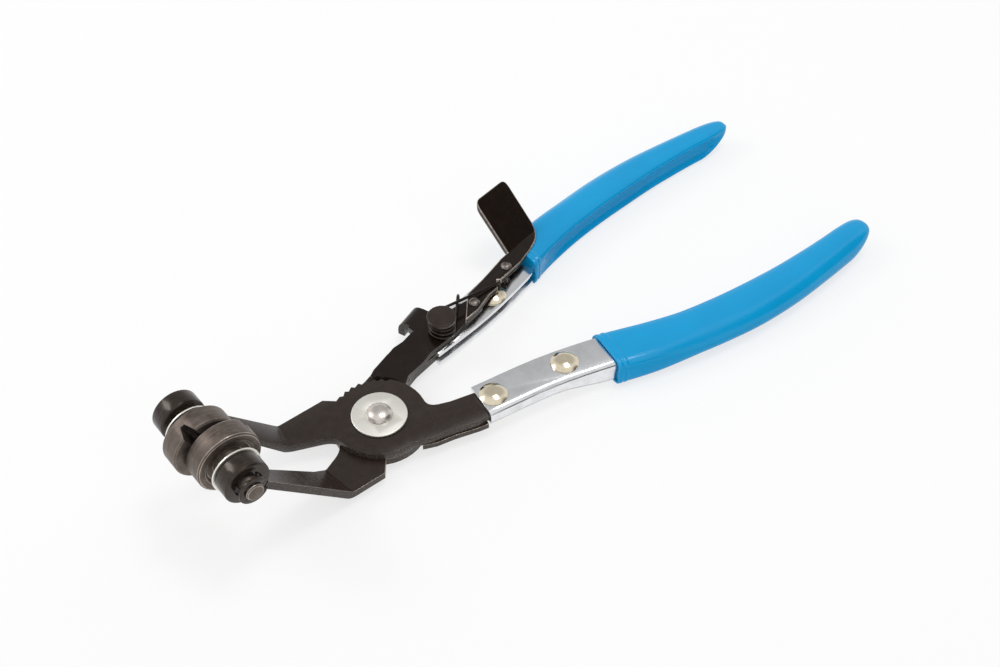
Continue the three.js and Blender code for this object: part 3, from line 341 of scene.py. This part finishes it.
# Lengths in millimetres, from the pivot or from the grip's start; a quarter of the stations lies in the
# mouth's length, and the nose starts after seven tenths of them
gripForm = {
    "finish": "blueDippedVinyl", "lineSteps": 48, "end": 141.4, "halfWidth": 7.5, "height": 9.6,
    "stations": 150, "around": 64, "smoothAngle": 50,
    "mouthLength": 8, "mouthShare": 0.25, "roundFrom": 2, "roundBy": 30,
    "slimFrom": 84, "slimming": 2, "insetFrom": 46, "insetBy": 98,
    "noseLength": 12, "noseFrom": 0.7, "tipWidth": 0.3, "tipBottom": 0.62, "tipTop": 0.86, "bottomCurve": 1.6,
    "bead": 0.22, "beadPlaces": (0.7, 2.4), "beadReach": 0.8, "beadAside": 0.8,
    "hollowFrom": 1, "hollowBy": 15, "hollowEnds": (0.2, 0.85), "hollowHeight": 0.78, "hollowCurve": 1.2,
    "lipWall": 0.6, "lipDepth": 0.5, "lipWithin": 10, "mergeWithin": 0.001,
}


def eased(value, start, end):
    share = min(1, max(0, (value - start) / (end - start)))
    return share * share * (3 - 2 * share)


def mixed(first, second, share):
    return first + (second - first) * share


# How far along the handle line a station lies: they are close together at the mouth and in the nose
def stationPlace(start, share):
    form = gripForm
    mouthEnd, noseStart = start + form["mouthLength"], form["end"] - form["noseLength"]
    if share < form["mouthShare"]:
        return mixed(start, mouthEnd, share / form["mouthShare"])
    if share < form["noseFrom"]:
        bodyShare = (share - form["mouthShare"]) / (form["noseFrom"] - form["mouthShare"])
        return mixed(mouthEnd, noseStart, bodyShare)
    noseShare = (share - form["noseFrom"]) / (1 - form["noseFrom"])
    return noseStart + form["noseLength"] * math.sin(noseShare * math.pi / 2)


# Place on the section of a grip: boxy around the channel in front, rounder behind, hollow on the channel's
# open side, with two fine beads at the mouth
def gripPoint(grip, alongShare, aroundShare):
    form = gripForm
    start, end = grip["start"], form["end"]
    along = stationPlace(start, alongShare)
    nose = min(1, max(0, (along - end + form["noseLength"]) / form["noseLength"]))
    dome = math.sqrt(1 - nose ** 2)
    rounding = eased(along, start + form["roundFrom"], start + form["roundBy"])
    behind = eased(along, start, form["slimFrom"])
    bead = 0
    for place in form["beadPlaces"]:
        away = min(1, abs(along - start - place) / form["beadReach"])
        bead += form["bead"] * max(0, math.cos(away * math.pi / 2))
    wide = form["halfWidth"] - mixed(grip["narrow"][0], grip["narrow"][1], behind)
    wide = (wide - form["slimming"] * eased(along, form["slimFrom"], end)) * mixed(form["tipWidth"], 1, dome)
    bottom = form["height"] * form["tipBottom"] * nose ** form["bottomCurve"]
    top = form["height"] * mixed(form["tipTop"], 1, dome)
    middle, high = (top + bottom) / 2, (top - bottom) / 2
    angle = 2 * math.pi * aroundShare
    outwards, upwards = math.cos(angle), math.sin(angle)
    box = grip["outerBox"] if outwards > 0 else grip["innerBox"]
    power = 2 / mixed(box[0], box[1], rounding)
    aside = wide * math.copysign(abs(outwards) ** power, outwards)
    height = high * math.copysign(abs(upwards) ** power, upwards)
    if outwards < 0:
        depth = grip["hollow"] * eased(along, start + form["hollowFrom"], start + form["hollowBy"])
        depth *= 1 - eased(nose, *form["hollowEnds"])
        aside += depth * max(0, 1 - (height / (form["hollowHeight"] * high)) ** 2) ** form["hollowCurve"]
    later = grip["skew"] * (aside / form["halfWidth"] + 1) / 2 * (1 - behind)
    inset = grip["inset"] * eased(along, form["insetFrom"], form["insetBy"])
    rise = max(0, height / high) * bead
    return (along + later, aside - inset + bead * aside / wide * form["beadAside"], middle + height + rise)


# A dipped grip: a grid rolled up into its tube, capped, and laid along the handle line
def dippedGrip(side):
    grip = grips[side]
    node = "grip_" + side
    bpy.ops.object.select_all(action="DESELECT")
    bpy.ops.mesh.primitive_grid_add(x_subdivisions=gripForm["stations"], y_subdivisions=gripForm["around"],
        size=1, location=(0, 0, 0))
    piece = bpy.context.object
    piece.name = node + ".piece"
    for vertex in piece.data.vertices:
        vertex.co = Vector(gripPoint(grip, vertex.co.x + 0.5, vertex.co.y + 0.5)) * mm
    bpy.ops.object.mode_set(mode="EDIT")
    bpy.ops.mesh.select_all(action="SELECT")
    bpy.ops.mesh.remove_doubles(threshold=gripForm["mergeWithin"] * mm)
    bpy.ops.mesh.select_all(action="DESELECT")
    bpy.ops.mesh.select_non_manifold()
    bpy.ops.mesh.edge_face_add()
    bpy.ops.mesh.select_all(action="DESELECT")
    bpy.ops.object.mode_set(mode="OBJECT")
    # the cap at the mouth is sunk inside its lip
    for face in piece.data.polygons:
        inFront = face.center.x < (grip["start"] + gripForm["lipWithin"]) * mm
        face.select = inFront and len(face.vertices) > 4
    bpy.ops.object.mode_set(mode="EDIT")
    bpy.ops.mesh.inset(thickness=gripForm["lipWall"] * mm)
    bpy.ops.mesh.extrude_region_move(TRANSFORM_OT_translate={"value": (gripForm["lipDepth"] * mm, 0, 0)})
    bpy.ops.mesh.select_all(action="SELECT")
    bpy.ops.mesh.normals_make_consistent(inside=False)
    bpy.ops.mesh.select_all(action="DESELECT")
    bpy.ops.object.mode_set(mode="OBJECT")
    line = bpy.data.curves.new("handleLine", "CURVE")
    line.dimensions = "3D"
    line.twist_mode = "Z_UP"
    line.resolution_u = gripForm["lineSteps"]
    spline = line.splines.new("BEZIER")
    spline.bezier_points.add(len(bow) - 1)
    for point, (x, y) in zip(spline.bezier_points, bow):
        point.co = (x * mm, y * mm, 0)
        point.handle_left_type = point.handle_right_type = "AUTO"
    path = bpy.data.objects.new("handleLine", line)
    bpy.context.scene.collection.objects.link(path)
    follow = piece.modifiers.new("alongHandle", "CURVE")
    follow.object = path
    follow.deform_axis = "POS_X"
    pick(piece)
    bpy.ops.object.modifier_apply(modifier=follow.name)
    bpy.data.objects.remove(path)
    if grip["turn"] < 0:
        bpy.ops.object.mode_set(mode="EDIT")
        bpy.ops.mesh.select_all(action="SELECT")
        bpy.ops.transform.mirror(constraint_axis=(False, True, False), center_override=(0, 0, 0))
        bpy.ops.mesh.normals_make_consistent(inside=False)
        bpy.ops.object.mode_set(mode="OBJECT")
    bpy.ops.object.shade_smooth_by_angle(angle=math.radians(gripForm["smoothAngle"]))
    piece.data.materials.append(looks[gripForm["finish"]])
    declare(piece, node)
    return piece


foldedSheet = {"finish": "chromePlate", "edge": 0.06, "bevelAngle": 60, "smoothAngle": 50}
sheathing = {"skin": 0.15, "overlap": 4, "frontRoom": 200}  # millimetres


# The channel, trimmed to what the grip sheathes, so that its bends stay under the vinyl
def sheathedChannel(side, gripPiece):
    channel = dressed("handle_channel_" + side, **foldedSheet)
    sheath = gripPiece.copy()
    sheath.data = gripPiece.data.copy()
    bpy.context.scene.collection.objects.link(sheath)
    pick(sheath)
    bpy.ops.object.mode_set(mode="EDIT")
    bpy.ops.mesh.select_all(action="SELECT")
    bpy.ops.transform.shrink_fatten(value=-sheathing["skin"] * mm)
    bpy.ops.mesh.select_all(action="DESELECT")
    # all of the channel that lies in front of the grip is kept too
    front = min(vertex.co.x for vertex in gripPiece.data.vertices) + sheathing["overlap"] * mm
    room = sheathing["frontRoom"] * mm
    bpy.ops.mesh.primitive_cube_add(size=1, location=(front - room / 2, 0, 0), scale=(room, room, room))
    bpy.ops.mesh.select_all(action="DESELECT")
    bpy.ops.object.mode_set(mode="OBJECT")
    trim = channel.modifiers.new("underVinyl", "BOOLEAN")
    trim.operation = "INTERSECT"
    trim.solver = "EXACT"
    trim.use_self = True
    trim.object = sheath
    pick(channel)
    bpy.ops.object.modifier_apply(modifier=trim.name)
    bpy.data.objects.remove(sheath)
    channel.data.materials.clear()
    channel.data.materials.append(looks[foldedSheet["finish"]])


jaw = {"edge": 0.14, "withPaintedEdgeHighlight": True}
jawCollar = {"edge": 0.1}
jawClip = {"edge": 0.07}
thrustWasher = {"finish": "paleZincPlate", "edge": 0.06}
for side in ("left", "right"):
    gunmetal, turnedBlack = "gunmetal" + side.capitalize(), "blackTurned" + side.capitalize()
    dressed("swivel_jaw_" + side, gunmetal, **jaw)
    counterbore(dressed("jaw_collar_" + side, turnedBlack, **jawCollar), side)
    dressed("e_clip_" + side, turnedBlack, **jawClip)
    dressed("thrust_washer_" + side, **thrustWasher)
    sheathedChannel(side, dippedGrip(side))
print("jaws and handles dressed")

pivotWasher = {"finish": "paleZincPlate", "edge": 0.08}
for node in ("pivot_washer_upper", "pivot_washer_lower"):
    dressed(node, **pivotWasher)
pivotRivet = {"finish": "brightNickel", "edge": 0.12}
dressed("pivot_rivet", **pivotRivet)

# Lengths in millimetres; the head is cut off at the seat of its rim and gets a cap of this radius and rise
handleRivet = {"finish": "paleBrassNickel", "radius": 4.05, "cap": 1.22, "rim": 0.28, "headHeight": 1.5,
    "around": 64, "rings": 96, "smoothAngle": 25}


# A rivet whose head is a low spherical cap on a thin rim
def cappedRivet(node):
    form = handleRivet
    piece = dressed(node, form["finish"], edge=0)
    corners = [vertex.co for vertex in piece.data.vertices]
    seat = max(corner.z for corner in corners) + (form["rim"] - form["headHeight"]) * mm
    spans = [[corner[i] for corner in corners] for i in (0, 1)]
    middle = [(min(span) + max(span)) / 2 for span in spans]
    pick(piece)
    bpy.ops.object.mode_set(mode="EDIT")
    bpy.ops.mesh.select_all(action="SELECT")
    bpy.ops.mesh.bisect(plane_co=(0, 0, seat), plane_no=(0, 0, 1), use_fill=True, clear_outer=True)
    bpy.ops.mesh.select_all(action="DESELECT")
    ball = (form["radius"] ** 2 + form["cap"] ** 2) / (2 * form["cap"]) * mm
    bpy.ops.mesh.primitive_uv_sphere_add(segments=form["around"], ring_count=form["rings"], radius=ball,
        location=(*middle, seat + form["cap"] * mm - ball))
    bpy.ops.mesh.bisect(plane_co=(0, 0, seat), plane_no=(0, 0, 1), use_fill=True, clear_inner=True)
    bpy.ops.mesh.select_all(action="DESELECT")
    bpy.ops.object.mode_set(mode="OBJECT")
    bpy.ops.object.shade_smooth_by_angle(angle=math.radians(form["smoothAngle"]))


for node in ("handle_rivet_right_front", "handle_rivet_right_rear", "handle_rivet_left_rear"):
    cappedRivet(node)
thumbRivet = {"finish": "darkNickel", "edge": 0.06}
for node in ("thumb_lever_rivet", "thumb_lever_stud"):
    dressed(node, **thumbRivet)
springWire = {"finish": "springWireSteel", "edge": 0, "smoothAngle": 60}
dressed("pawl_spring", **springWire)
print("small parts dressed")

# Metres and watts; the screens are soft grey patches of the world, each a direction, a tone and its
# inner and outer half angle in degrees
studio = {"floorSize": 3.0, "floorDrop": 0.00005, "floorTone": "#fbfbfb", "floorGlow": 0.7,
    "worldStrength": 0.86, "lampAim": (0.05, 0, 0)}
lamps = {
    "overheadBox": {"power": 1.7, "size": 0.26, "place": (0.26, -0.02, 0.9)},
    "sideBox": {"power": 1.3, "size": 0.3, "place": (-0.42, 0.55, 0.62)},
}
screens = (
    {"towards": (0.45, 0.5, 0.74), "tone": 0.62, "inner": 26, "outer": 42},
    {"towards": (0.64, -0.62, 0.45), "tone": 0.12, "inner": 16, "outer": 32},
    {"towards": (0.0, -0.97, 0.2), "tone": 0.1, "inner": 6, "outer": 17},
)

bpy.ops.mesh.primitive_plane_add(size=studio["floorSize"], location=(0, 0, -studio["floorDrop"]))
floor = bpy.context.object
floor.name = "floor"
sweep, sweepShader = newMaterial("whiteSweep", {"Roughness": 0.7, "Specular IOR Level": 0.1})[:2]
sweepShader.inputs["Base Color"].default_value = hexToLinear(studio["floorTone"])
# painted board, which also glows where it is looked at or mirrored, to stay white under a faint shadow
rays = addNode(sweep, "ShaderNodeLightPath").outputs
looked = {0: rays["Is Camera Ray"], 1: rays["Is Glossy Ray"]}
direct = addNode(sweep, "ShaderNodeMath", looked, operation="MAXIMUM").outputs["Value"]
through = {0: direct, 1: rays["Is Transmission Ray"]}
shown = addNode(sweep, "ShaderNodeMath", through, operation="MAXIMUM").outputs["Value"]
share = {1: studio["floorGlow"]}
glow = addNode(sweep, "ShaderNodeMath", {0: shown}, share, operation="MULTIPLY").outputs["Value"]
lit = addNode(sweep, "ShaderNodeEmission").outputs["Emission"]
blend = addNode(sweep, "ShaderNodeMixShader", {"Fac": glow, 1: sweepShader.outputs["BSDF"], 2: lit})
plug(sweep, blend.outputs["Shader"], sweep.node_tree.nodes["Material Output"].inputs["Surface"])
floor.data.materials.append(sweep)

# white where the camera looks; the metal mirrors nearly the same white, darkened by the three screens
world = bpy.data.worlds.new("softStudio")
bpy.context.scene.world = world
world.use_nodes = True
background = world.node_tree.nodes["Background"]
background.inputs["Color"].default_value = (1, 1, 1, 1)
outward = addNode(world, "ShaderNodeTexCoord").outputs["Generated"]
level = None
for screen in screens:
    towards = {1: tuple(Vector(screen["towards"]).normalized())}
    facing = addNode(world, "ShaderNodeVectorMath", {0: outward}, towards, operation="DOT_PRODUCT")
    inner, outer = (math.cos(math.radians(screen[rim])) for rim in ("inner", "outer"))
    span = {"From Min": outer, "From Max": inner, "To Min": 1.0, "To Max": screen["tone"]}
    shade = addNode(world, "ShaderNodeMapRange", {"Value": facing.outputs["Value"]}, span,
        interpolation_type="SMOOTHSTEP").outputs["Result"]
    # the first screen darkens the world's own strength, and each later one what the last has left
    factors = {0: shade, 1: level} if level else {0: shade}
    strength = {1: studio["worldStrength"]}
    level = addNode(world, "ShaderNodeMath", factors, strength, operation="MULTIPLY").outputs["Value"]
rays = addNode(world, "ShaderNodeLightPath").outputs
looked = {0: rays["Is Camera Ray"], 1: rays["Is Transmission Ray"]}
direct = addNode(world, "ShaderNodeMath", looked, operation="MAXIMUM").outputs["Value"]
seen = addNode(world, "ShaderNodeMath", {0: direct, 1: level}, operation="MAXIMUM").outputs["Value"]
plug(world, seen, background.inputs["Strength"])

for name, lamp in lamps.items():
    light = bpy.data.lights.new(name, "AREA")
    light.energy = lamp["power"]
    light.size = lamp["size"]
    box = bpy.data.objects.new(name, light)
    box.location = lamp["place"]
    box.rotation_mode = "QUATERNION"
    box.rotation_quaternion = (Vector(studio["lampAim"]) - box.location).to_track_quat("-Z", "Y")
    bpy.context.scene.collection.objects.link(box)

# Where the photo was taken from, in millimetres, and how it was turned
shot = {"eye": (-126.6, -208.9, 307.5), "right": (0.78, -0.6257, 0.0047), "up": (0.4604, 0.5791, 0.6728),
    "back": (-0.4238, -0.5227, 0.7398), "lens": 50.09, "sensorWidth": 36, "near": 0.01, "far": 10}
cameraData = bpy.data.cameras.new("photoCamera")
cameraData.sensor_width = shot["sensorWidth"]
cameraData.lens = shot["lens"]
cameraData.clip_start, cameraData.clip_end = shot["near"], shot["far"]
camera = bpy.data.objects.new("photoCamera", cameraData)
bpy.context.scene.collection.objects.link(camera)
turn = Matrix((shot["right"], shot["up"], shot["back"])).transposed().to_4x4()
camera.matrix_world = Matrix.Translation(Vector(shot["eye"]) * mm) @ turn
bpy.context.scene.camera = camera
bpy.context.scene.view_settings.view_transform = "Standard"
print("stage set")
